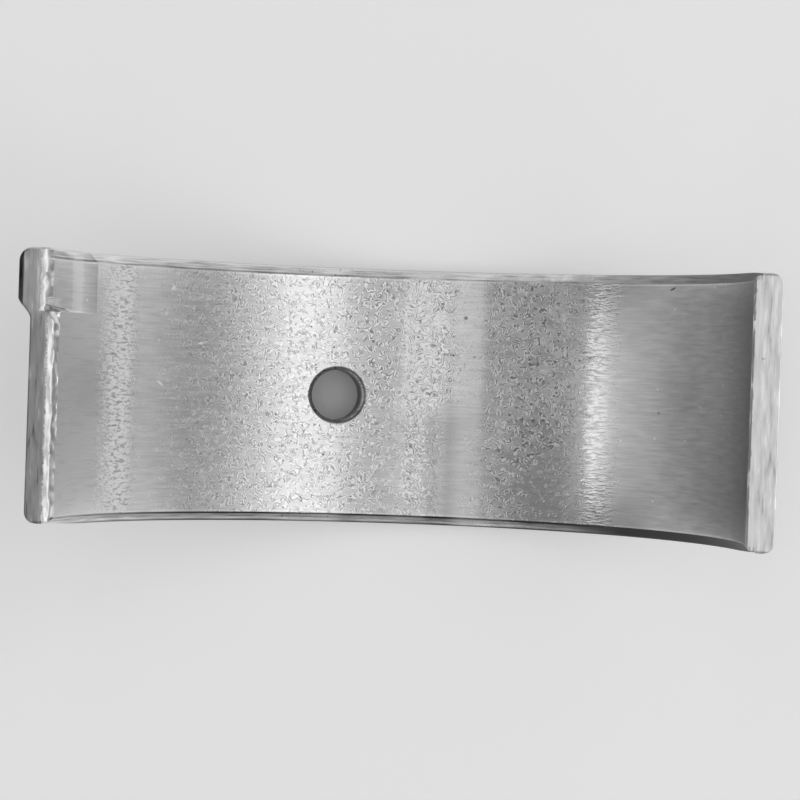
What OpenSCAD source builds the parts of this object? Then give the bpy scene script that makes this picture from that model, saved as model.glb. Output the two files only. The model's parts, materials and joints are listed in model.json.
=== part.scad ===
// Half shell of a plain engine bearing. It has one locating tang and one oil hole.
// The bearing axis is Y, the parting faces lie in the plane z = 0 and the bore opens
// towards +Z, so the shell lies on the crown of its back.

/* [Shell] */
// Diameter of the housing bore that the back seats in
housing_d = 54; // [44:0.5:70]
// Thickness of the wall
wall = 2.1; // [1.9:0.05:2.8]
// Width of the shell along the bearing axis
shell_w = 20.3; // [16:0.1:32]

/* [Edges] */
// Chamfer at both ends of the bore
bore_chamfer = 0.75; // [0.3:0.05:0.9]
// Radius of the round edge at both ends of the back
back_round = 0.85; // [0.3:0.05:1]
// Bevel where the bore meets each parting face
parting_bevel = 0.25; // [0.1:0.05:0.45]

/* [Bore relief] */
// Depth of the relief at each parting face
relief_depth = 0.04; // [0.02:0.01:0.08]
// Arc from each parting face to where the relief runs out, in degrees
relief_arc = 16; // [10:1:25]

/* [Locating tang] */
// Width of the tang, from the end of the shell to the middle of its shoulder
tang_w = 4.4; // [3.4:0.1:8]
// Height of the tang above the back, at the parting face
tang_out = 1; // [0.5:0.05:1.5]
// Arc from the parting face to where the tang runs out into the back, in degrees
tang_arc = 15; // [8:1:25]
// Radius of the tang's outer corner at the end of the shell
tang_corner = 1; // [0.3:0.05:1.5]
// Radius of both bends of the tang's shoulder
shoulder_round = 0.8; // [0.2:0.05:0.85]
// Slope of the shoulder between its bends, in degrees from the parting edge
shoulder_slope = 45; // [35:1:45]
// Radius of the edge between the tang's flank and the parting face
tang_edge = 0.3; // [0.1:0.05:0.5]

/* [Recess behind the tang] */
// Width of the recess, from the end of the shell to its step
recess_w = 4.6; // [3:0.1:8]
// Depth of the recess below the bore, at the parting face
recess_depth = 0.6; // [0.3:0.05:0.8]
// Arc from the parting face to where the recess runs out into the bore, in degrees
recess_arc = 17; // [8:1:25]
// Width of the pocket that the punch leaves in the corner by the step
pocket_w = 1; // [0.5:0.05:2]
// Depth of that pocket below the recess, at the parting face
pocket_depth = 0.45; // [0.2:0.05:0.6]
// Height over which the pocket runs out into the recess
pocket_run = 2.5; // [1:0.1:3]

/* [Oil hole] */
// Diameter of the oil hole
oil_hole_d = 4; // [2:0.1:6]
// Angle of the oil hole from the crown towards the tang, in degrees
oil_hole_angle = 18; // [-40:1:40]
// Width of the countersink around the hole in the bore
oil_hole_sink = 0.25; // [0.1:0.05:0.5]
// Width of the broken edge around the hole in the back
oil_hole_break = 0.15; // [0.1:0.05:0.4]

/* [Hidden] */
$fn = 128;

// How far a cut runs past the surface that it opens
over = 0.5;
back_r = housing_d / 2;
bore_r = back_r - wall;
shell_end = shell_w / 2;

// A run-out circle stands proud of a round surface of radius r by the given height at the
// parting plane and meets that surface again after the given arc. Its centre lies in the
// parting plane, at this distance from the bearing axis.
function run_out_centre(r, height, arc) =
    (pow(r + height, 2) - pow(r, 2)) / (2 * (r + height - r * cos(arc)));

tang_tip = back_r + tang_out;
tang_centre = run_out_centre(back_r, tang_out, tang_arc);
tang_drop = back_r * sin(tang_arc);

recess_floor = bore_r + recess_depth;
recess_centre = run_out_centre(bore_r, recess_depth, recess_arc);
recess_floor_r = recess_floor - recess_centre;

// The relief is bored from an axis a little above the bearing axis
relief_lift = (pow(bore_r + relief_depth, 2) - pow(bore_r, 2)) / (2 * bore_r * sin(relief_arc));
relief_r = sqrt(pow(bore_r + relief_depth, 2) + pow(relief_lift, 2));

// Corner that is left outside a quarter circle about the origin
module outside_round(r) {
    difference() {
        square(r + over);
        circle(r);
    }
}

// An outline in the x-z plane, drawn out along the bearing axis between two places
module along_axis(from, to) {
    translate([0, to, 0])
        rotate([90, 0, 0])
            linear_extrude(to - from)
                children();
}

// Solid disc with both edges of the back rounded
module back_disc() {
    rotate([90, 0, 0])
        rotate_extrude()
            difference() {
                translate([0, -shell_end])
                    square([back_r, shell_w]);
                for (flip = [0, 1])
                    mirror([0, flip])
                        translate([back_r - back_round, shell_end - back_round])
                            outside_round(back_round);
            }
}

// Bore with a chamfer at each end
module bore() {
    flare = bore_r + bore_chamfer + over;
    rotate([90, 0, 0])
        rotate_extrude()
            polygon([
                [0, -shell_end - over],
                [flare, -shell_end - over],
                [bore_r, -shell_end + bore_chamfer],
                [bore_r, shell_end - bore_chamfer],
                [flare, shell_end + over],
                [0, shell_end + over]
            ]);
}

// Shallow relief that eases the bore away from the journal at both parting faces
module bore_relief() {
    translate([0, 0, relief_lift])
        rotate([90, 0, 0])
            cylinder(r = relief_r, h = shell_w + 2 * over, center = true);
}

// Bevels along the bore edge of both parting faces
module parting_bevels() {
    for (flip = [0, 1])
        mirror([flip, 0, 0])
            along_axis(-shell_end - over, shell_end + over)
                polygon([
                    [bore_r - over, over],
                    [bore_r + parting_bevel + over, over],
                    [bore_r - over, -parting_bevel - over]
                ]);
}

// Everything above the parting plane
module above_parting() {
    reach = tang_tip + over;
    translate([-reach, -shell_end - over, 0])
        cube([2 * reach, shell_w + 2 * over, reach]);
}

// Outline of the tang in the parting plane, with its tip towards +x
module tang_outline() {
    bend_out = shoulder_round * (1 - cos(shoulder_slope));
    bend_along = shoulder_round * sin(shoulder_slope);
    slope_along = (tang_out - 2 * bend_out) / tan(shoulder_slope);
    slope_top = shell_end - tang_w + slope_along / 2;
    slope_foot = slope_top - slope_along;
    tip_bend = slope_top + bend_along;
    foot_bend = slope_foot - bend_along;
    inner = bore_r * cos(tang_arc);
    difference() {
        union() {
            polygon([
                [inner, shell_end],
                [tang_tip, shell_end],
                [tang_tip, tip_bend],
                [tang_tip - bend_out, slope_top],
                [back_r + bend_out, slope_foot],
                [back_r, foot_bend],
                [inner, foot_bend]
            ]);
            translate([tang_tip - shoulder_round, tip_bend])
                circle(shoulder_round);
        }
        translate([back_r + shoulder_round, foot_bend])
            circle(shoulder_round);
        translate([tang_tip - tang_corner, shell_end - tang_corner])
            outside_round(tang_corner);
    }
}

// Tang pressed out of the wall, level with the parting face and running out into the back
module tang() {
    mirror([1, 0, 0])
        intersection() {
            translate([0, 0, -tang_drop])
                linear_extrude(tang_drop + over)
                    tang_outline();
            along_axis(-shell_end, shell_end + over)
                difference() {
                    translate([tang_centre, 0])
                        circle(tang_tip - tang_centre);
                    translate([tang_tip - tang_edge, -tang_edge])
                        outside_round(tang_edge);
                }
        }
}

// Recess that the punch leaves in the bore behind the tang, open at the end of the shell
module tang_recess() {
    step = shell_end - recess_w;
    pocket_foot = recess_centre + sqrt(pow(recess_floor_r, 2) - pow(pocket_run, 2));
    mirror([1, 0, 0]) {
        along_axis(step, shell_end + over)
            translate([recess_centre, 0])
                circle(recess_floor_r);
        along_axis(step, step + pocket_w)
            polygon([
                [recess_centre, 0],
                [recess_floor + pocket_depth, 0],
                [pocket_foot, -pocket_run]
            ]);
    }
}

// Oil hole through the wall, countersunk in the bore and with its edge broken in the back
module oil_hole() {
    hole_r = oil_hole_d / 2;
    rotate([0, oil_hole_angle, 0])
        mirror([0, 0, 1]) {
            translate([0, 0, bore_r - over])
                cylinder(r = hole_r, h = wall + 2 * over);
            translate([0, 0, bore_r - over])
                cylinder(r1 = hole_r + oil_hole_sink + over, r2 = hole_r, h = oil_hole_sink + over);
            translate([0, 0, back_r - oil_hole_break])
                cylinder(r1 = hole_r, r2 = hole_r + oil_hole_break + over, h = oil_hole_break + over);
        }
}

module bearing_shell() {
    color("silver")
        difference() {
            union() {
                back_disc();
                tang();
            }
            above_parting();
            bore();
            bore_relief();
            parting_bevels();
            tang_recess();
            oil_hole();
        }
}

bearing_shell();
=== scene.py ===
# Half shell of a plain engine bearing, lying on the crown of its back.
import json
import math

import bmesh
import bpy
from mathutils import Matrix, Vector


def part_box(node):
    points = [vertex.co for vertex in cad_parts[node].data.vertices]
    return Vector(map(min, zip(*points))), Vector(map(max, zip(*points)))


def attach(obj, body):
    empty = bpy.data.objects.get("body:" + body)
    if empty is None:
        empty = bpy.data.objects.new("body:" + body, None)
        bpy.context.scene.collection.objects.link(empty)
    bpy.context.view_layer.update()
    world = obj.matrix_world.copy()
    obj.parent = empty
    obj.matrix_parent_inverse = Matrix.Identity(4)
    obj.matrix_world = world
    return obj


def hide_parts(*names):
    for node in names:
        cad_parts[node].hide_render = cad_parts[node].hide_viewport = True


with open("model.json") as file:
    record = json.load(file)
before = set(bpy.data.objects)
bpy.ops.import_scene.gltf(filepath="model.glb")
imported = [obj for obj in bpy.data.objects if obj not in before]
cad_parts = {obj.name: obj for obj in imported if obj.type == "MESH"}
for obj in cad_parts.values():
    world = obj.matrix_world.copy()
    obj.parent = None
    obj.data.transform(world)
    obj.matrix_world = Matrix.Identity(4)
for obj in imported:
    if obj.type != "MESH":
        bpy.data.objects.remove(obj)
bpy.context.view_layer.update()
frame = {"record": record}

MM = 0.001
NODE = "bearing_shell"
MOUNTS = {mount["name"]: mount for mount in frame["record"]["mounts"]}
LOW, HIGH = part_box(NODE)

# Sizes that the frame gives
BORE_R = MOUNTS["journal_seat"]["dims"]["r_mm"] * MM
BACK_R = -LOW[2]
WALL = BACK_R - BORE_R
HALF_W = HIGH[1]
TANG_OUT = -LOW[0] - BACK_R
HOLE_R = MOUNTS["oil_hole"]["dims"]["r_mm"] * MM
HOLE_AXIS = MOUNTS["oil_hole"]["axis"]
HOLE_ANGLE = math.atan2(-HOLE_AXIS[0], -HOLE_AXIS[2])

# Edges
BORE_CHAMFER = 0.75 * MM
BACK_ROUND = 0.85 * MM
TANG_SIDE_BEVEL = 0.33 * MM
PLAIN_SIDE_BEVEL = 0.15 * MM
EDGE_BREAK = 0.08 * MM
END_EDGE = 0.15 * MM
CORNER_TRIM = 0.27 * MM
CORNER_RUN = 8.0 * MM
CORNER_BREAK = 0.14 * MM
SHARP_ANGLE = math.radians(30)

# Relief of the bore at the parting faces
RELIEF_DEPTH = 0.04 * MM
RELIEF_ARC = math.radians(16)

# Locating tang
TANG_W = 4.4 * MM
TANG_ARC = math.radians(15)
TANG_CORNER = 1.0 * MM
TANG_EDGE = 0.3 * MM
SHOULDER_RUN = 1.6 * MM

# Recess behind the tang
RECESS_W = 4.6 * MM
RECESS_DEPTH = 0.6 * MM
RECESS_ARC = math.radians(17)
POCKET_W = 1.0 * MM
POCKET_DEPTH = 0.45 * MM
POCKET_RUN = 2.5 * MM
STEP_PLACE = HALF_W - RECESS_W
STEP_LEAN = 0.45

# Oil hole
HOLE_SINK = 0.25 * MM
HOLE_BREAK = 0.15 * MM

# Lining, and the bead that it forms on the parting face by the tang
LINING = 0.78 * MM
BEAD_SLOPE = 0.4
BEAD_LUMP = 0.35 * MM
BEAD_BEND = 0.9 * MM

# Distance between the lines of the blank: along it, across it, over the tang and on the slope of the step
LENGTH_STEP = 0.3 * MM
WIDTH_STEP = 0.22 * MM
TANG_STEP = 0.13 * MM
SLOPE_STEP = 0.04 * MM

# Finish of the bore. Places are in mm along the arc from the crown, negative towards the tang. A soft border
# is given by where it starts and where it ends, and a soft line by its middle and its reach to each side.
# WAVE, RAG and FRAY say how far noise moves the borders.
HAZE_START = (-26.0, -17.0)
LEFT_START = (-27.0, -14.0)
LEFT_THINS = (-6.0, -2.0)
LEFT_END = (-2.0, 0.0)
CROWN_START = (-2.6, -1.8)
RIGHT_START = (2.6, 6.0)
RIGHT_STOP = 12.0
WAVE = 3.0
RAG = 5.0
FRAY = 2.4
LEFT_STREAKS = ((-31.3, -28.4), (-27.4, -26.1))
RIGHT_STREAKS = ((12.3, 13.2), (13.8, 16.0))
PITTED = ((-15.0, -12.5), (-8.0, -5.0))
FLECKED = ((-25.0, -21.0), (-16.0, -12.0))
DENSE_STRIP = (-0.9, 2.2)
BOLD_STRIP = (-4.5, 1.6)
SMOOTH_STRIP = (2.4, 2.6)
BRUSHED_START = (16.0, 24.0)
STROKE_RELIEF = ((-26.0, -12.0), (11.0, 13.5))
STREAK_RELIEF = (14.0, 3.0)

# Where painted light and shade make the bore lighter or darker, in the same way
RIGHT_SHADE = (12.0, 34.0)
FAR_SHADE = (29.0, 37.0)
LEFT_SHEEN = (-34.0, -18.0)
HOLE_SHADE = (-5.0, 3.0)
HOLE_SHEEN = (-10.0, 4.0)
CROWN_SHADE = ((-1.2, 0.0), (1.0, 2.5))
CROWN_SHEEN = (-1.1, 1.9)
STRIP_SHEEN = (2.6, 1.7)
RIGHT_LINE = (8.5, 3.6)
CHAMFER_LEFT = (-15.0, -5.0)
CHAMFER_RIGHT = (4.0, 16.0)
CHAMFER_SHADE = (8.0, 16.0)
CHAMFER_SHEEN = (1.0, 9.0)
CHAMFER_ROUGH = (10.0, 25.0)

# Where the tang and the recess end, where the painted shadow on the step of the recess ends, and the painted
# highlight and the painted shade on the floor of the recess
TANG_END = -30.0
RECESS_END = -31.6
STEP_SHADOW_END = -36.0
FLOOR_HIGHLIGHT = (-34.1, 1.0)
FLOOR_SHADE = (-33.8, -31.7)

# Soft borders across the shell and below the parting plane, in mm
UPPER_BORDER = (-2.0, 1.0)
RIGHT_CORNER = (-7.0, -1.5)
RIGHT_CORNER_CUT = 5.0
PARTING_BORDER = (-0.5, -0.25)

# Single marks on the bore: place along, place across, length and width in mm, and turn in degrees
DARK_NICKS = ((2.28, 6.47, 0.34, 0.3, 0.0), (21.33, 9.03, 0.75, 0.18, 17.0))
FAINT_NICKS = ((20.17, -0.44, 0.28, 0.24, 0.0), (0.9, 3.52, 1.8, 0.2, -4.0))
BRIGHT_TICKS = ((-22.5, 7.9, 0.5, 0.3, 45.0), (-19.66, 3.7, 0.6, 0.2, 10.0), (-23.6, 0.53, 0.8, 0.2, -30.0))

# Greys from black at 0 to white at 1, the roughness of the steel and the height of the marks
LINING_GREY = 0.76
STEEL_GREY = 0.38
LIGHTEST = 0.98
DARKEST = 0.02
STEEL_ROUGHNESS = 0.36
MARK_HEIGHT = 0.012 * MM

# Floor: half its side in metres, its grey and roughness, how much lighter it looks, and where the painted
# soft shadow under and around the shell ends, in half sizes of the shell
FLOOR_HALF = 3.0
FLOOR_GREY = 0.87
FLOOR_ROUGHNESS = 0.9
FLOOR_LIFT = 0.28
FLOOR_SHADE_EDGE = (0.35, 1.1)

# Sky: its strength, and how much more of it comes from +X
SKY_LEVEL = 0.28
SKY_TILT = 0.1

# Camera: its angle of view, its place and its turn
CAMERA_VIEW = math.radians(15.47)
CAMERA_PLACE = (24.76 * MM, 2.25 * MM, 208.47 * MM)
CAMERA_TURN = (math.radians(-0.37), math.radians(6.75), math.radians(2.01))


# Node building

class Value:
    """An output socket that can be used in sums. Each sum adds a Math node to the socket's tree."""

    def __init__(self, net, socket):
        self.net = net
        self.socket = socket

    def __add__(self, other):
        return self.net.math("ADD", self, other)

    def __radd__(self, other):
        return self.net.math("ADD", other, self)

    def __sub__(self, other):
        return self.net.math("SUBTRACT", self, other)

    def __rsub__(self, other):
        return self.net.math("SUBTRACT", other, self)

    def __mul__(self, other):
        return self.net.math("MULTIPLY", self, other)

    def __truediv__(self, other):
        return self.net.math("DIVIDE", self, other)

    def __rtruediv__(self, other):
        return self.net.math("DIVIDE", other, self)

    def above(self, other):
        return self.net.math("GREATER_THAN", self, other)

    def below(self, other):
        return self.net.math("LESS_THAN", self, other)


class Net:
    """Adds nodes to one tree. Feeds go to a node's sockets by place, and named ones by name."""

    def __init__(self, tree):
        self.tree = tree

    def feed(self, socket, value):
        if isinstance(value, Value):
            value = value.socket
        if isinstance(value, bpy.types.NodeSocket):
            self.tree.links.new(value, socket)
        else:
            socket.default_value = value

    def add(self, kind, *feeds, named=None, **settings):
        made = self.tree.nodes.new(kind)
        for name, value in settings.items():
            setattr(made, name, value)
        for socket, value in zip(made.inputs, feeds):
            if value is not None:
                self.feed(socket, value)
        for name, value in (named or {}).items():
            self.feed(made.inputs[name], value)
        return made

    def math(self, operation, *feeds):
        return Value(self, self.add("ShaderNodeMath", *feeds, operation=operation).outputs[0])

    def larger(self, first, *others):
        """The largest of these numbers."""
        for other in others:
            first = self.math("MAXIMUM", first, other)
        return first

    def smaller(self, first, second):
        return self.math("MINIMUM", first, second)

    def root(self, value):
        return self.math("SQRT", self.larger(value, 0.0))

    def ramp(self, value, low, high):
        """0 below low, 1 above high, with a smooth S between."""
        made = self.add("ShaderNodeMapRange", value, low, high, interpolation_type="SMOOTHSTEP")
        return Value(self, made.outputs[0])

    def split(self, vector):
        made = self.add("ShaderNodeSeparateXYZ", vector)
        return [Value(self, socket) for socket in made.outputs]

    def join(self, x, y, z):
        return self.add("ShaderNodeCombineXYZ", x, y, z).outputs[0]


# Shell

def spaced(start, stop, step):
    """Evenly spaced numbers from start to stop, about a step apart."""
    count = max(1, round((stop - start) / step))
    return [start + (stop - start) * place / count for place in range(count + 1)]


def in_order(numbers):
    """Sorted numbers without repeats."""
    return sorted({round(number, 9) for number in numbers})


def length_lines():
    """Lines across the blank: close together at both parting faces and where the tang and recess run out."""
    length = math.pi * BORE_R
    near = [offset * MM for offset in (0, 0.02, 0.06, 0.12, 0.2, 0.25, 0.3, 0.42, 0.6, 0.85)]
    lines = near + spaced(near[-1], length - near[-1], LENGTH_STEP) + [length - offset for offset in near]
    crease = 0.02 * MM
    for arc in (TANG_ARC, RECESS_ARC):
        lines += [arc * BORE_R, arc * BORE_R + crease]
    return in_order(lines)


def width_lines():
    """Lines along the blank: close together at both ends, and over the tang and its shoulder."""
    near = [offset * MM for offset in (0, 0.01, 0.04, 0.09, 0.16, 0.25, 0.36, 0.5, 0.62, 0.75, 0.9, 1.1)]
    shoulder_foot = HALF_W - TANG_W - SHOULDER_RUN / 2
    lines = [HALF_W - offset for offset in near] + [offset - HALF_W for offset in near]
    lines += spaced(near[-1] - HALF_W, shoulder_foot, WIDTH_STEP)
    lines += spaced(shoulder_foot, HALF_W - near[-1], TANG_STEP)
    lean = (RECESS_DEPTH + POCKET_DEPTH) * STEP_LEAN
    pocket_end = STEP_PLACE + POCKET_W
    for start, stop in ((STEP_PLACE, STEP_PLACE + lean), (pocket_end - lean / 2, pocket_end)):
        lines += spaced(start, stop, SLOPE_STEP)
    return in_order(lines)


def depth_lines():
    """Lines through the wall, from the bore to the back."""
    return [depth * MM for depth in (0, 0.1, 0.2, 0.28, 0.34, 0.42, 0.5, 0.6, 0.7, 0.8, 1, 1.2, 1.5)] + [
        WALL - depth * MM for depth in (0.4, 0.25, 0.15, 0.08, 0.03, 0)]


def flat_blank(name):
    """Closed skin of a flat strip. X runs along it, Y across it, and Z from the bore side to the back."""
    lines = [length_lines(), width_lines(), depth_lines()]
    numbers = {}
    points = []
    faces = []

    def number(place):
        if place not in numbers:
            numbers[place] = len(points)
            points.append([lines[axis][place[axis]] for axis in range(3)])
        return numbers[place]

    for axis in range(3):
        first, second = [other for other in range(3) if other != axis]
        for end in (0, len(lines[axis]) - 1):
            outwards = (end > 0) == (axis != 1)
            for along in range(len(lines[first]) - 1):
                for across in range(len(lines[second]) - 1):
                    ring = []
                    for step, side in ((0, 0), (1, 0), (1, 1), (0, 1)):
                        place = [end, end, end]
                        place[first] = along + step
                        place[second] = across + side
                        ring.append(number(tuple(place)))
                    faces.append(ring if outwards else ring[::-1])
    mesh = bpy.data.meshes.new(name)
    mesh.from_pydata(points, [], faces)
    blank = bpy.data.objects.new(name, mesh)
    bpy.context.collection.objects.link(blank)
    return blank


def rolling_tree(sizes):
    """Tree that rolls a flat blank to a half shell, presses its tang and drills its oil hole.

    sizes gives the tree's named inputs, in order, with their values."""
    tree = bpy.data.node_groups.new("rolled shell", "GeometryNodeTree")
    tree.interface.new_socket("Blank", in_out="INPUT", socket_type="NodeSocketGeometry")
    for name in sizes:
        tree.interface.new_socket(name, in_out="INPUT", socket_type="NodeSocketFloat")
    tree.interface.new_socket("Metal", in_out="INPUT", socket_type="NodeSocketMaterial")
    tree.interface.new_socket("Shell", in_out="OUTPUT", socket_type="NodeSocketGeometry")

    net = Net(tree)
    given = tree.nodes.new("NodeGroupInput")
    size = {name: Value(net, given.outputs[name]) for name in sizes}
    bore_r = size["Bore radius"]
    wall = size["Wall"]
    half_w = size["Half width"]
    back_r = bore_r + wall

    place = net.add("GeometryNodeInputPosition").outputs[0]
    along, across, depth = net.split(place)
    length = bore_r * math.pi
    angle = along / bore_r
    from_middle = net.math("ABSOLUTE", across)

    # Ends of the shell: a bit narrower towards the parting faces, but not at the tang, with broken corners
    near_tang = along.below(length / 2.0)
    face_place = net.smaller(along, length - along)
    trim = size["Corner trim"] * (1.0 - net.ramp(face_place, 0.0, size["Corner run"]))
    end = half_w - trim * (1.0 - near_tang * across.above(0.0))
    from_face = net.larger(face_place, size["Corner break"] - net.larger(end - from_middle, 0.0))

    def run_out(radius, height, arc):
        """Height above a round surface of a circle that stands proud of it at the tang's parting face."""
        tip = radius + height
        centre = (tip * tip - radius * radius) / ((tip - radius * net.math("COSINE", arc)) * 2.0)
        sine = centre * net.math("SINE", angle)
        reach = tip - centre
        far = centre * net.math("COSINE", angle) + net.root(reach * reach - sine * sine)
        return net.larger(far - radius, 0.0)

    # Tang, with its shoulder across the shell and its run-out along it
    tang_run = run_out(back_r, size["Tang height"], size["Tang arc"])
    shoulder = half_w - size["Tang width"]
    half_run = size["Shoulder run"] / 2.0
    tang_side = net.ramp(across, shoulder - half_run, shoulder + half_run)
    tang = tang_run * tang_side
    on_tang = tang / size["Tang height"]

    # Back, with its round ends and the broken edge at the parting faces
    corner = size["Back round"] + (size["Tang corner"] - size["Back round"]) * on_tang
    past_corner = net.larger(from_middle - (end - corner), 0.0)
    back = wall + tang - corner + net.root(corner * corner - past_corner * past_corner)
    edge = size["Edge break"] + (size["Tang edge"] - size["Edge break"]) * on_tang
    past_edge = net.larger(edge - from_face, 0.0)
    back = back - edge + net.root(edge * edge - past_edge * past_edge)

    # Bore, with its chamfers, its relief and the recess with its pocket
    chamfer = net.larger(from_middle - (half_w - size["Bore chamfer"]), 0.0)
    eased = bore_r + size["Relief depth"]
    lift = (eased * eased - bore_r * bore_r) / (bore_r * net.math("SINE", size["Relief arc"]) * 2.0)
    sine = net.math("SINE", angle)
    cosine = net.math("COSINE", angle)
    sideways = lift * cosine
    relief = net.root(eased * eased + lift * lift - sideways * sideways) - lift * sine - bore_r
    step = half_w - size["Recess width"]
    past_step = net.larger(across - step, 0.0) / size["Step lean"]
    recess_run = run_out(bore_r, size["Recess depth"], size["Recess arc"])
    recess = net.smaller(recess_run, past_step)
    pocket_top = bore_r + size["Recess depth"] + size["Pocket depth"]
    pocket_run = pocket_top / (cosine + size["Pocket slope"] * sine) - bore_r
    pocket_end = net.larger(step + size["Pocket width"] - across, 0.0) / size["Step lean"] * 2.0
    pocket_run = net.larger(pocket_run - recess_run, 0.0) * angle.below(size["Pocket arc"])
    pocket_run = recess_run + net.smaller(pocket_run, pocket_end)
    pocket = net.smaller(pocket_run, past_step)
    bore = net.larger(chamfer, relief, recess, pocket)

    # Depth of each point between bore and back
    spread = depth * (wall + tang) / wall
    depth_now = net.smaller(net.larger(spread, bore), back)

    # Round edge between the chamfer and the end of the shell
    end_edge = size["End edge"]
    short = end_edge - (depth_now - size["Bore chamfer"])
    short = net.smaller(net.larger(short, 0.0), end_edge * 2.0)
    end = end - short * short / (end_edge * 4.0)
    across_now = net.larger(net.smaller(across, end), end * -1.0)

    # Bevel along the bore edge of the parting faces, and the uneven bead of lining beside the tang
    bent = net.ramp(across, step - size["Bead bend"], step + size["Bead bend"] / 4.0)
    in_lining = net.larger(depth_now - net.larger(recess, recess_run * bent), 0.0)
    lumps = net.add("ShaderNodeTexNoise", net.join(0.0, across * 0.4, depth_now), named={
        "Scale": 1.0 / size["Bead lump"], "Detail": 2.0})
    lump = Value(net, lumps.outputs[0]) * 2.4 - 0.2
    bead = net.larger(size["Lining"] - in_lining, 0.0) * size["Bead slope"] * lump * near_tang
    bevel = size["Plain side bevel"] * lump
    bevel = bevel + (size["Tang side bevel"] - bevel) * near_tang
    bevelled = net.larger(from_face, net.larger(bevel - in_lining, 0.0) + bead)
    along_now = along + (bevelled - face_place) * (near_tang * 2.0 - 1.0)

    turn = along_now / bore_r
    radius = bore_r + depth_now
    rolled = net.join(
        radius * net.math("COSINE", turn) * -1.0,
        across_now,
        radius * net.math("SINE", turn) * -1.0,
    )
    shell = net.add("GeometryNodeSetPosition", given.outputs["Blank"], None, rolled).outputs[0]
    weld = 0.001 * MM
    shell = net.add("GeometryNodeMergeByDistance", named={"Geometry": shell, "Distance": weld}).outputs[0]
    shell = net.add("GeometryNodeFlipFaces", shell).outputs[0]

    # Oil hole: a drill, a countersink in the bore and a broken edge in the back
    hole_r = size["Hole radius"]
    spare = 0.5 * MM
    sides = 128
    drill = net.add("GeometryNodeMeshCylinder", named={
        "Vertices": sides, "Radius": hole_r, "Depth": wall + 2 * spare})
    sink = net.add("GeometryNodeMeshCone", named={
        "Vertices": sides, "Radius Bottom": hole_r, "Radius Top": hole_r + size["Hole sink"] + spare,
        "Depth": size["Hole sink"] + spare})
    back_sink = net.add("GeometryNodeMeshCone", named={
        "Vertices": sides, "Radius Bottom": hole_r + size["Hole break"] + spare, "Radius Top": hole_r,
        "Depth": size["Hole break"] + spare})
    cut = net.add("GeometryNodeMeshBoolean", operation="DIFFERENCE", solver="MANIFOLD")
    net.feed(cut.inputs["Mesh 1"], shell)
    for cutter, far in (
        (drill, bore_r + wall / 2.0),
        (sink, bore_r + size["Hole sink"]),
        (back_sink, back_r + spare),
    ):
        lowered = net.add("GeometryNodeTransform", named={
            "Geometry": cutter.outputs["Mesh"], "Translation": net.join(0.0, 0.0, far * -1.0)})
        turned = net.add("GeometryNodeTransform", named={
            "Geometry": lowered.outputs[0], "Rotation": net.join(0.0, size["Hole angle"], 0.0)})
        net.feed(cut.inputs["Mesh 2"], turned.outputs[0])
    shell = cut.outputs["Mesh"]

    shell = net.add("GeometryNodeSetShadeSmooth", shell).outputs[0]
    shell = net.add("GeometryNodeRealizeInstances", shell).outputs[0]
    shell = net.add("GeometryNodeSetMaterial", named={
        "Geometry": shell, "Material": given.outputs["Metal"]}).outputs[0]
    net.feed(tree.nodes.new("NodeGroupOutput").inputs["Shell"], shell)
    return tree


def made_plain(piece, name):
    """The piece as a plain mesh object, with its modifiers applied and its faces outwards."""
    evaluated = piece.evaluated_get(bpy.context.evaluated_depsgraph_get())
    mesh = bpy.data.meshes.new_from_object(evaluated)
    mesh.name = name
    rough = bmesh.new()
    rough.from_mesh(mesh)
    bmesh.ops.recalc_face_normals(rough, faces=rough.faces)
    rough.to_mesh(mesh)
    rough.free()
    mesh.set_sharp_from_angle(angle=SHARP_ANGLE)
    plain = bpy.data.objects.new(name, mesh)
    bpy.context.collection.objects.link(plain)
    bpy.data.objects.remove(piece)
    return plain


def rolled_shell(metal):
    """The whole shell, rolled from its blank."""
    floor_x = BORE_R + RECESS_DEPTH
    floor_centre = (floor_x ** 2 - BORE_R ** 2) / (2 * (floor_x - BORE_R * math.cos(RECESS_ARC)))
    pocket_foot = floor_centre + math.sqrt((floor_x - floor_centre) ** 2 - POCKET_RUN ** 2)
    pocket_slope = (floor_x + POCKET_DEPTH - pocket_foot) / POCKET_RUN
    sizes = {
        "Bore radius": BORE_R,
        "Wall": WALL,
        "Half width": HALF_W,
        "Bore chamfer": BORE_CHAMFER,
        "Back round": BACK_ROUND,
        "Tang side bevel": TANG_SIDE_BEVEL,
        "Plain side bevel": PLAIN_SIDE_BEVEL,
        "Edge break": EDGE_BREAK,
        "End edge": END_EDGE,
        "Corner trim": CORNER_TRIM,
        "Corner run": CORNER_RUN,
        "Corner break": CORNER_BREAK,
        "Relief depth": RELIEF_DEPTH,
        "Relief arc": RELIEF_ARC,
        "Tang width": TANG_W,
        "Tang height": TANG_OUT,
        "Tang arc": TANG_ARC,
        "Tang corner": TANG_CORNER,
        "Tang edge": TANG_EDGE,
        "Shoulder run": SHOULDER_RUN,
        "Recess width": RECESS_W,
        "Recess depth": RECESS_DEPTH,
        "Recess arc": RECESS_ARC,
        "Pocket width": POCKET_W,
        "Pocket depth": POCKET_DEPTH,
        "Pocket slope": pocket_slope,
        "Pocket arc": math.atan2(POCKET_RUN, pocket_foot),
        "Step lean": STEP_LEAN,
        "Hole radius": HOLE_R,
        "Hole angle": HOLE_ANGLE,
        "Hole sink": HOLE_SINK,
        "Hole break": HOLE_BREAK,
        "Lining": LINING,
        "Bead slope": BEAD_SLOPE,
        "Bead lump": BEAD_LUMP,
        "Bead bend": BEAD_BEND,
    }
    blank = flat_blank("shell blank")
    roll = blank.modifiers.new("roll", "NODES")
    roll.node_group = rolling_tree(sizes)
    for item in roll.node_group.interface.items_tree:
        if item.name in sizes:
            roll[item.identifier] = sizes[item.name]
        elif item.name == "Metal":
            roll[item.identifier] = metal
    return made_plain(blank, "shell")


# Finishes

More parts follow.
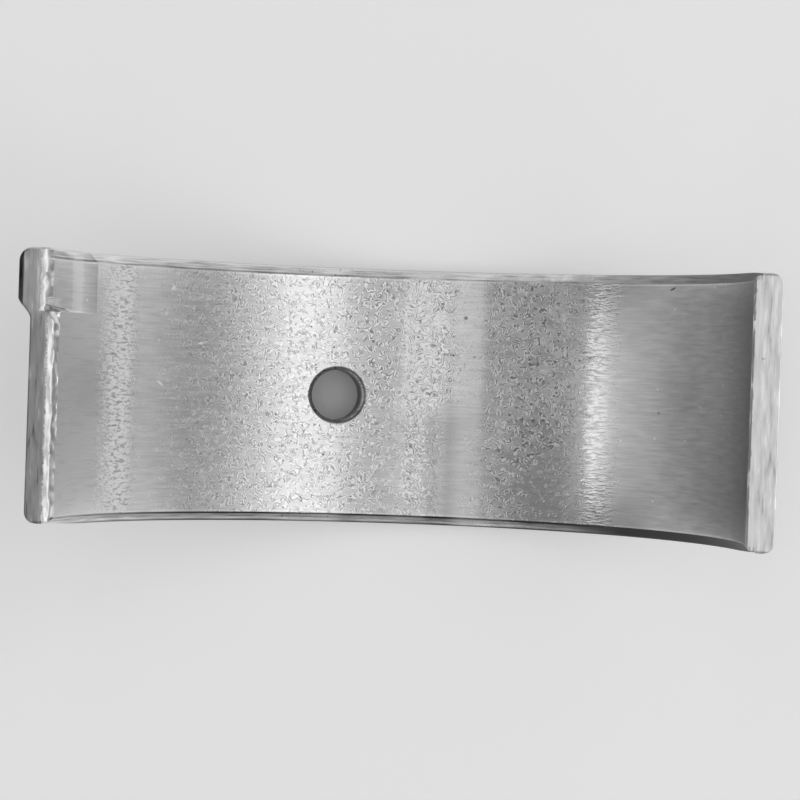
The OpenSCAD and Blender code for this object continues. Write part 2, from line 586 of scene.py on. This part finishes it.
def new_material(name):
    """An empty material, its net and the Principled shader in it."""
    material = bpy.data.materials.new(name)
    material.use_nodes = True
    tree = material.node_tree
    shader = tree.nodes["Principled BSDF"]
    return material, Net(tree), shader


def group_net(name, inputs, outputs):
    """A shader group with these float inputs and outputs: its tree, net, inputs by name and output node."""
    tree = bpy.data.node_groups.new(name, "ShaderNodeTree")
    for label in inputs:
        tree.interface.new_socket(label, in_out="INPUT", socket_type="NodeSocketFloat")
    for label in outputs:
        tree.interface.new_socket(label, in_out="OUTPUT", socket_type="NodeSocketFloat")
    net = Net(tree)
    given = tree.nodes.new("NodeGroupInput")
    values = {label: Value(net, given.outputs[label]) for label in inputs}
    return tree, net, values, tree.nodes.new("NodeGroupOutput")


def unrolled_place():
    """Group that gives a point's place on the unrolled shell, in mm: along the arc from the crown, across
    the shell, depth below the bore and height above the parting plane."""
    tree, net, values, out = group_net("unrolled place", [], ["Along", "Across", "Depth", "Height"])
    point = net.add("ShaderNodeTexCoord").outputs["Object"]
    x, y, z = net.split(point)
    net.feed(out.inputs["Along"], net.math("ARCTAN2", x, z * -1.0) * (BORE_R / MM))
    net.feed(out.inputs["Across"], y / MM)
    net.feed(out.inputs["Depth"], (net.root(x * x + z * z) - BORE_R) / MM)
    net.feed(out.inputs["Height"], z / MM)
    return tree


def stretched_grain():
    """Group with a noise that is as long as Run along the first place and as wide as Pitch across it."""
    tree, net, values, out = group_net(
        "stretched grain", ["First", "Second", "Seed", "Run", "Pitch", "Detail", "Twist"], ["Grain"])
    seed = values["Seed"]
    place = net.join(values["First"] / values["Run"] + seed, values["Second"] / values["Pitch"] + seed, 0.0)
    grain = net.add("ShaderNodeTexNoise", place, noise_dimensions="2D", named={
        "Scale": 1.0, "Detail": values["Detail"], "Roughness": 0.55, "Distortion": values["Twist"]})
    net.feed(out.inputs["Grain"], grain.outputs[0])
    return tree


def curled_strokes():
    """Group with short strokes that run another way in each small patch and fade out here and there.
    Stroke is 1 on a bright stroke, 0.15 on a dark one and 0.5 where they have faded. Fade says how much
    they do."""
    spacing = 0.3
    wander = 1.2
    darkness = 0.7
    tree, net, values, out = group_net("curled strokes", ["First", "Second", "Fade"], ["Stroke"])
    place = net.join(values["First"], values["Second"], 0.0)
    warp = net.split(net.add("ShaderNodeTexNoise", place, named={"Scale": 1.6, "Detail": 1.0},
                             noise_dimensions="2D").outputs["Color"])
    first = values["First"] + warp[0] * wander
    second = values["Second"] + warp[1] * wander
    patches = net.add("ShaderNodeTexVoronoi", net.join(first, second, 0.0), named={"Scale": 1.4},
                      voronoi_dimensions="2D")
    chance = net.split(patches.outputs["Color"])
    turn = chance[0] * math.pi
    pitch = second * net.math("COSINE", turn) - first * net.math("SINE", turn)
    wave = net.math("COSINE", (pitch / spacing + chance[1]) * (2 * math.pi))
    faded = net.add("ShaderNodeTexNoise", place, named={"Scale": 2.0, "Detail": 1.0}, noise_dimensions="2D")
    strength = 1.0 - values["Fade"] * (1.0 - net.ramp(Value(net, faded.outputs[0]), 0.36, 0.62))
    wave = net.larger(wave, wave * darkness)
    net.feed(out.inputs["Stroke"], 0.5 + wave * strength * 0.5)
    return tree


def use_group(net, tree, **feeds):
    """Places a group in a net, with its inputs fed by name, and gives its outputs by name."""
    made = net.add("ShaderNodeGroup", node_tree=tree)
    for label, value in feeds.items():
        net.feed(made.inputs[label], value)
    return {socket.name: Value(net, socket) for socket in made.outputs}


def shares(first, *others):
    """Sum of masks, each given with its share of the sum."""
    total = first[0] * first[1]
    for mask, share in others:
        total = total + mask * share
    return total


class Finish:
    """Marks of the shell's finish and of painted light and shade, over its unrolled surface. A mark is a
    mask: 1 where it is, 0 elsewhere.
    Left is towards the tang, and the upper end is the one with the tang."""

    def __init__(self, net):
        self.net = net
        self.grain_group = stretched_grain()
        self.find_place()
        self.lay_grains()
        self.mark_zones()
        self.mark_streaks()
        self.mark_lining()
        self.mark_chamfers()
        self.mark_parting_faces()
        self.mark_recess()
        self.mark_spots()
        self.mark_hole()

    def grain(self, first, second, run, pitch, detail=2.0, twist=0.0, seed=0.0):
        """Noise that is as long as run along the first place and as wide as pitch along the second."""
        made = use_group(self.net, self.grain_group, First=first, Second=second, Seed=seed,
                         Run=run, Pitch=pitch, Detail=detail, Twist=twist)
        return made["Grain"]

    def line(self, value, middle, reach):
        """1 on a line, with soft edges that end at this reach to each side of its middle."""
        return 1.0 - self.net.ramp(self.net.math("ABSOLUTE", value - middle), reach * 0.4, reach)

    def band(self, value, start, end):
        """1 between two soft borders."""
        return self.net.ramp(value, *start) * (1.0 - self.net.ramp(value, *end))

    def spot(self, along, across, length, width, turn):
        """1 in a small spot, turned by an angle in degrees, with soft edges."""
        turn = math.radians(turn)
        a = self.along - along
        b = self.across - across
        u = (a * math.cos(turn) + b * math.sin(turn)) / (length / 2)
        v = (b * math.cos(turn) - a * math.sin(turn)) / (width / 2)
        return 1.0 - self.net.ramp(self.net.root(u * u + v * v), 0.6, 1.2)

    def spots(self, places):
        """1 in each of these small spots."""
        return self.net.larger(*[self.spot(*place) for place in places])

    def cells(self, first, second, density):
        """Distance from the middle of the nearest cell, and the number from 0 to 1 that this cell has."""
        made = self.net.add("ShaderNodeTexVoronoi", self.net.join(first, second, 0.0),
                            named={"Scale": density}, voronoi_dimensions="2D")
        return Value(self.net, made.outputs["Distance"]), self.net.split(made.outputs["Color"])[0]

    def find_place(self):
        """Where a point lies, in mm, and which face it lies on."""
        net = self.net
        place = use_group(net, unrolled_place())
        self.along = place["Along"]
        self.across = place["Across"]
        self.depth = place["Depth"]
        self.height = place["Height"]
        self.from_end = HALF_W / MM - net.math("ABSOLUTE", self.across)
        self.on_left = self.along.below(0.0)
        self.top_end = self.across.above(0.0)
        self.upper = net.ramp(self.across, *UPPER_BORDER)
        self.on_chamfer = self.from_end.below(BORE_CHAMFER / MM)
        self.on_bore = 1.0 - self.on_chamfer
        self.on_parting = net.ramp(self.height, *PARTING_BORDER)
        self.by_tang = self.along.below(TANG_END)

    def lay_grains(self):
        """Noises on the bore, and brushed lines along the parting faces and round the bore and the back."""
        net = self.net
        bore = (self.along, self.across)
        self.patch = self.grain(*bore, run=4.0, pitch=2.5, detail=1.0, seed=7.0)
        self.worm = self.grain(*bore, run=0.46, pitch=0.39, detail=0.6, twist=1.2, seed=11.0)
        self.clump = net.ramp(self.grain(*bore, run=1.6, pitch=1.3, detail=1.0, seed=23.0), 0.4, 0.58)
        streak_run = 0.9 - self.on_left * 0.25
        self.streak = self.grain(*bore, run=streak_run, pitch=0.18, detail=1.0, twist=0.6, seed=19.0)
        fade = 1.0 - self.line(self.along, *DENSE_STRIP) * 0.6
        self.stroke = use_group(net, curled_strokes(), First=bore[0], Second=bore[1], Fade=fade)["Stroke"]
        first = self.along + (self.across - self.along) * self.on_parting
        second = self.across + (self.depth - self.across) * self.on_parting
        self.brushing = (first, second)
        self.fine = self.grain(*self.brushing, run=3.0, pitch=0.14, seed=31.0)
        self.blot = self.grain(*self.brushing, run=2.5, pitch=0.35, seed=41.0)

    def mark_zones(self):
        """Bands of the bore, with wavy borders, where curled strokes mottle it and where it is hazy."""
        net = self.net
        self.wavy = self.along + (self.patch - 0.5) * WAVE
        ragged = self.wavy + (self.worm - 0.5) * RAG
        thinned = net.ramp(self.wavy, *LEFT_THINS) * (0.6 - self.upper * 0.4)
        left_end = (1.0 - thinned) * (1.0 - net.ramp(self.along, *LEFT_END))
        left_zone = net.ramp(self.wavy, *LEFT_START) * left_end
        haze = net.ramp(self.wavy, *HAZE_START) * left_end
        crown_stop = self.upper * 1.2 - 0.3
        crown_end = 1.0 - net.ramp(ragged, crown_stop - 1.0, crown_stop + 2.0)
        self.crown_zone = net.ramp(self.along, *CROWN_START) * crown_end * (0.5 + self.upper * 0.5)
        right_stop = RIGHT_STOP - (1.0 - net.ramp(self.across, *RIGHT_CORNER)) * RIGHT_CORNER_CUT
        self.right_zone = self.band(ragged, RIGHT_START, (right_stop - 1.5, right_stop + 1.5))
        self.mottled = net.smaller(left_zone + self.crown_zone + self.right_zone, 1.0) * self.on_bore
        self.hazy = net.smaller(haze + self.crown_zone + self.right_zone, 1.0) * self.on_bore
        self.smooth_strip = self.line(self.along, *SMOOTH_STRIP)

    def mark_streaks(self):
        """Two bands of short streaks round the bore, with dark gaps in them."""
        frayed = self.along + (self.streak - 0.5) * FRAY
        self.streaked = (self.band(frayed, *LEFT_STREAKS) + self.band(frayed, *RIGHT_STREAKS)) * self.on_bore
        self.gap = 1.0 - self.net.ramp(self.streak, 0.4 - self.on_left * 0.06, 0.58 - self.on_left * 0.02)

    def mark_lining(self):
        """Lining, with a ragged border on the parting faces. The press has moved it outwards at the tang."""
        shift = self.across.above(STEP_PLACE / MM) * self.by_tang * (RECESS_DEPTH / MM)
        layer = self.depth - shift + (self.worm - 0.5) * self.on_parting * 0.3
        soft = 0.04
        self.lining = 1.0 - self.net.ramp(layer, LINING / MM - soft, LINING / MM + soft)

    def mark_chamfers(self):
        """Painted highlight on the outer edge of the upper chamfer, and painted dark and bright lines along
        both chamfers, where their edges turn from the light or catch it.
        """
        lit = 1.0 - self.net.ramp(self.along, *CHAMFER_SHADE)
        self.edge_line = (1.0 - self.net.ramp(self.from_end, 0.1, 0.2)) * self.top_end * lit
        inner = self.line(self.from_end, 0.66, 0.1) * lit * 0.3 - self.line(self.from_end, 0.83, 0.08) * 0.16
        outer = self.line(self.from_end, 0.0, 0.14) * 0.45 - self.line(self.from_end, 0.25, 0.1) * 0.2
        self.chamfer_lines = inner + outer * lit * (1.0 - self.top_end)

    def mark_parting_faces(self):
        """The bright plain face, the tang's face with its dark rim, and the bright burr at its end."""
        net = self.net
        step = STEP_PLACE / MM
        tip = (WALL + TANG_OUT) / MM
        end = HALF_W / MM
        self.plain_face = self.on_parting * self.along.above(0.0)
        self.on_tang = net.ramp(self.across, step - 1.0, step + 1.0) * self.by_tang
        self.tang_rim = net.ramp(self.depth, tip - 0.5, tip - 0.36) * self.on_parting
        burr = net.ramp(self.across + (self.worm - 0.5) * 0.5, end - 0.3, end - 0.15)
        self.burr = burr * self.on_parting * self.on_tang

    def mark_recess(self):
        """Floor of the recess, with a painted highlight across it, and a painted shadow on the step beside
        it.
        """
        net = self.net
        past_step = self.across - STEP_PLACE / MM
        self.in_recess = past_step.above(0.0) * self.along.below(RECESS_END)
        self.floor_line = self.in_recess * self.line(self.along, *FLOOR_HIGHLIGHT)
        on_wall = (self.depth * STEP_LEAN + 0.06).above(past_step) * past_step.above(-0.03)
        wall_depth = net.ramp(self.depth, 0.03, 0.1) * self.depth.below(1.15)
        self.step_wall = on_wall * wall_depth * self.along.below(STEP_SHADOW_END) * self.height.below(-0.15)

    def mark_spots(self):
        """Pits, specks and flecks, the dents and blots of the parting faces, and single nicks and ticks."""
        net = self.net
        near_pit, drawn = self.cells(self.along, self.across, density=2.2)
        pit = (1.0 - net.ramp(near_pit, 0.12, 0.22)) * drawn.above(0.72)
        self.pit = pit * self.band(self.along, *PITTED)
        near_speck, drawn = self.cells(*self.brushing, density=0.55)
        self.speck = (1.0 - net.ramp(near_speck, 0.04, 0.07)) * drawn.above(0.88)
        fleck = net.ramp(self.stroke, 0.4, 0.9) * net.ramp(self.blot, 0.48, 0.58)
        self.fleck = fleck * self.on_bore * self.band(self.wavy, *FLECKED)
        near_dent = near_speck + (self.blot - 0.5) * 0.2
        self.dent = (1.0 - net.ramp(near_dent, 0.03, 0.09)) * drawn.below(0.12) * self.along.above(0.0)
        self.light_blot = net.ramp(self.blot, 0.6, 0.76)
        self.dark_blot = net.ramp(1.0 - self.blot, 0.64, 0.76)
        self.nick = net.larger(self.spots(DARK_NICKS), self.spots(FAINT_NICKS) * 0.6)
        self.tick = self.spots(BRIGHT_TICKS)

    def mark_hole(self):
        """Painted shade in the oil hole: a dark line around its countersink and a darker wall. On the left
        the countersink is painted dark too."""
        net = self.net
        past_hole = self.along + HOLE_ANGLE * BORE_R / MM
        from_hole = net.root(past_hole * past_hole + self.across * self.across) - HOLE_R / MM
        rim = HOLE_SINK / MM
        edge = self.line(from_hole, rim - 0.02, 0.12)
        wall = (1.0 - net.ramp(from_hole, -0.05, 0.1)) * net.ramp(self.depth, rim - 0.1, rim)
        ring = from_hole.below(rim) * (1.0 - net.ramp(past_hole, 0.2, 1.6))
        self.hole_dark = net.larger(edge * 0.6, wall * 0.75, ring * 0.65)

    def lining_dull(self):
        """Painted light and shade: how much darker the lining is painted, band by band, than where it is
        plain. Negative shares paint it lighter.
        """
        net = self.net
        along = self.along
        upper = self.upper
        # Painted shade on the chamfers: the lower one darker, and both darker towards the parting faces.
        chamfer_painted_shading = 0.34 - self.top_end * 0.42 + shares(
            (net.ramp(along, *CHAMFER_RIGHT), 0.36 + self.top_end * 0.06),
            (1.0 - net.ramp(along, *CHAMFER_LEFT), 0.12 + self.top_end * 0.12))
        # Painted shade on the floor of the recess, darker where it runs into the bore, with a painted
        # highlight across it.
        floor_painted_shade = 0.12 + net.ramp(along, *FLOOR_SHADE) * 0.2 - self.floor_line * 0.15
        painted_shading = self.chamfer_lines + shares(
            (net.ramp(along, *RIGHT_SHADE), 0.33),
            (net.ramp(along, *FAR_SHADE), 0.1),
            (1.0 - net.ramp(along, *LEFT_SHEEN), -0.22),
            (self.line(self.wavy, *HOLE_SHADE), 0.08),
            (self.line(along, *HOLE_SHEEN), -0.07),
            (self.line(along, *CROWN_SHEEN) * upper, -0.3),
            (self.line(along, *STRIP_SHEEN), upper * -0.11 - 0.02),
            (self.line(along, *RIGHT_LINE), 0.07 - upper * 0.15),
            (self.band(along, *CROWN_SHADE) * (1.0 - upper), 0.18),
            # The streaked bands are painted lighter too: a painted highlight over their streaks.
            (self.streaked, -0.2),
            (self.edge_line, -0.4),
            (self.on_chamfer, chamfer_painted_shading),
            (self.in_recess, floor_painted_shade))
        return painted_shading * (1.0 - self.on_parting)

    def lining_marks(self):
        """Share by which all the small marks make the lining lighter or darker."""
        bold = shares(
            (self.crown_zone, 0.7),
            (self.right_zone, 0.5),
            (self.line(self.along, *BOLD_STRIP) * self.upper, 0.6))
        return shares(
            (self.mottled * (self.stroke - 0.5), 0.85 + self.clump * 0.55 + bold),
            ((self.clump - 0.5) * self.right_zone, 0.2),
            (self.streaked * self.gap, self.on_left * -0.06 - 0.36),
            (self.fine - 0.5, 0.32 + self.on_chamfer * 1.2),
            (self.patch - 0.5, 0.12),
            (self.blot - 0.5, 0.25 + self.net.ramp(self.along, *BRUSHED_START) * 0.2),
            (self.pit, -0.4),
            (self.speck, 0.4),
            (self.fleck, 0.3),
            (self.nick, -0.7),
            (self.tick, 0.5))

    def lining_grey(self):
        return self.net.smaller((LINING_GREY - self.lining_dull()) * (1.0 + self.lining_marks()), LIGHTEST)

    def steel_grey(self):
        face_marks = shares(
            (self.blot - 0.5, 0.25 + self.plain_face * 0.35),
            (self.light_blot, 0.14),
            (self.dark_blot, -0.14),
            (self.dent, -0.4))
        steel = STEEL_GREY + shares(
            (self.plain_face, 0.42),
            (self.on_tang, 0.1),
            (self.tang_rim, -0.4),
            (self.burr, 0.45),
            (self.fine - 0.5, 0.2),
            (self.on_parting, face_marks))
        return self.net.smaller(steel, LIGHTEST)

    def grey(self):
        steel = self.steel_grey()
        grey = steel + (self.lining_grey() - steel) * self.lining
        # Painted shade in the oil hole and a painted shadow on the step of the recess darken the grey.
        grey = grey * (1.0 - self.hole_dark) * (1.0 - self.step_wall * 0.6)
        return self.net.larger(grey, DARKEST)

    def metallic(self):
        """Metal, with chalky flakes on the lining that look bright from every side."""
        net = self.net
        chalk = net.larger(
            self.streaked * self.on_left * (0.94 - self.gap * 0.65),
            self.tick * 0.8,
            self.fleck * 0.4,
            self.speck * 0.4,
            # Painted highlights across the floor of the recess and along the upper chamfer are made less
            # metallic, so that they look bright from every side.
            self.floor_line * 0.3,
            self.on_chamfer * self.top_end * self.line(self.along, *CHAMFER_SHEEN) * 0.25,
            net.ramp(self.stroke, 0.55, 0.95) * self.right_zone * 0.75,
            self.hazy * 0.22)
        # The painted highlight on the upper chamfer's edge is made less metallic, so that it looks bright
        # from every side.
        return 0.94 - chalk * self.lining - self.edge_line * 0.6 - self.burr * 0.5

    def roughness(self):
        polished = self.net.larger(self.streaked, self.smooth_strip)
        dull_chamfer = self.on_chamfer * self.net.ramp(self.along, *CHAMFER_ROUGH)
        rough = shares((self.hazy, 0.02), (polished, -0.1), (dull_chamfer, 0.2))
        return STEEL_ROUGHNESS - self.lining * (0.08 - rough)

    def relief(self):
        """Height of the curled strokes and of the streaks on the right, on the lining only."""
        strokes = self.stroke * self.band(self.along, *STROKE_RELIEF) * (1.0 - self.smooth_strip)
        streaks = self.streak * self.line(self.along, *STREAK_RELIEF)
        return (strokes + streaks) * self.depth.below(LINING / MM)


def shell_metal():
    """Lined steel: a satin bored lining with mottled bands and painted light and shade, on darker steel."""
    material, net, shader = new_material("shell metal")
    finish = Finish(net)
    grey = finish.grey()
    colour = net.add("ShaderNodeCombineColor", grey, grey, grey).outputs[0]
    net.feed(shader.inputs["Base Color"], colour)
    net.feed(shader.inputs["Metallic"], finish.metallic())
    net.feed(shader.inputs["Roughness"], finish.roughness())
    bump = net.add("ShaderNodeBump", named={
        "Strength": 1.0, "Distance": MARK_HEIGHT, "Height": finish.relief()})
    net.feed(shader.inputs["Normal"], bump.outputs[0])
    return material


def floor_paint():
    """Matt pale paint. To the camera and in reflections it looks a little lighter than the studio lights it.
    Under and just around the shell the lift fades out, which paints a soft shadow there."""
    material, net, shader = new_material("pale floor")
    shader.inputs["Base Color"].default_value = (FLOOR_GREY, FLOOR_GREY, FLOOR_GREY, 1)
    shader.inputs["Roughness"].default_value = FLOOR_ROUGHNESS
    shader.inputs["Emission Color"].default_value = (1, 1, 1, 1)
    path = net.add("ShaderNodeLightPath").outputs
    rays = [Value(net, path[kind]) for kind in ("Is Camera Ray", "Is Glossy Ray", "Is Transmission Ray")]
    seen = net.smaller(rays[0] + rays[1] + rays[2], 1.0)
    x, y, z = net.split(net.add("ShaderNodeTexCoord").outputs["Object"])
    beside = net.larger(net.math("ABSOLUTE", x) / BACK_R, net.math("ABSOLUTE", y) / HALF_W)
    # The lift fades out under and just around the shell: a painted soft shadow.
    net.feed(shader.inputs["Emission Strength"], seen * net.ramp(beside, *FLOOR_SHADE_EDGE) * FLOOR_LIFT)
    return material


# Stage

def lay_floor():
    corners = [(x * FLOOR_HALF, y * FLOOR_HALF, LOW[2]) for x, y in ((-1, -1), (1, -1), (1, 1), (-1, 1))]
    mesh = bpy.data.meshes.new("floor")
    mesh.from_pydata(corners, [], [(0, 1, 2, 3)])
    mesh.materials.append(floor_paint())
    floor = bpy.data.objects.new("floor", mesh)
    bpy.context.collection.objects.link(floor)


def strip_light(name, lean, spread, glow, reach=0.6, length=1.0):
    """A soft strip along the bearing axis. It leans from straight above towards +X and spreads over an
    angle, both in degrees, and its face has the given brightness."""
    width = 2 * reach * math.tan(math.radians(spread) / 2)
    lamp = bpy.data.lights.new(name, "AREA")
    lamp.shape = "RECTANGLE"
    lamp.size = width
    lamp.size_y = length
    lamp.energy = glow * math.pi * width * length
    holder = bpy.data.objects.new(name, lamp)
    lean = math.radians(lean)
    holder.location = (reach * math.sin(lean), 0, reach * math.cos(lean))
    holder.rotation_euler = (0, lean, 0)
    bpy.context.collection.objects.link(holder)


def light_studio():
    world = bpy.data.worlds.new("studio")
    world.use_nodes = True
    net = Net(world.node_tree)
    sky = world.node_tree.nodes["Background"]
    sky.inputs["Color"].default_value = (1, 1, 1, 1)
    x, y, z = net.split(net.add("ShaderNodeTexCoord").outputs["Generated"])
    net.feed(sky.inputs["Strength"], SKY_LEVEL + x * SKY_TILT)
    bpy.context.scene.world = world
    strip_light("key strip", lean=41, spread=20, glow=0.52)
    strip_light("wide strip", lean=41, spread=54, glow=0.48, reach=0.65)
    strip_light("top strip", lean=-1, spread=13, glow=0.75)
    strip_light("far strip", lean=-17, spread=18, glow=0.32)


def place_camera():
    """The photograph's view: from above, and a little from the side away from the tang."""
    lens = bpy.data.cameras.new("camera")
    lens.sensor_width = 36
    lens.angle = CAMERA_VIEW
    lens.clip_start = 0.005
    camera = bpy.data.objects.new("camera", lens)
    camera.location = CAMERA_PLACE
    camera.rotation_euler = CAMERA_TURN
    bpy.context.collection.objects.link(camera)
    bpy.context.scene.camera = camera


def main():
    place_camera()
    lay_floor()
    light_studio()
    shell = rolled_shell(shell_metal())
    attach(shell, "root")
    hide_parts(NODE)
    bpy.context.scene.view_settings.view_transform = "Standard"


main()
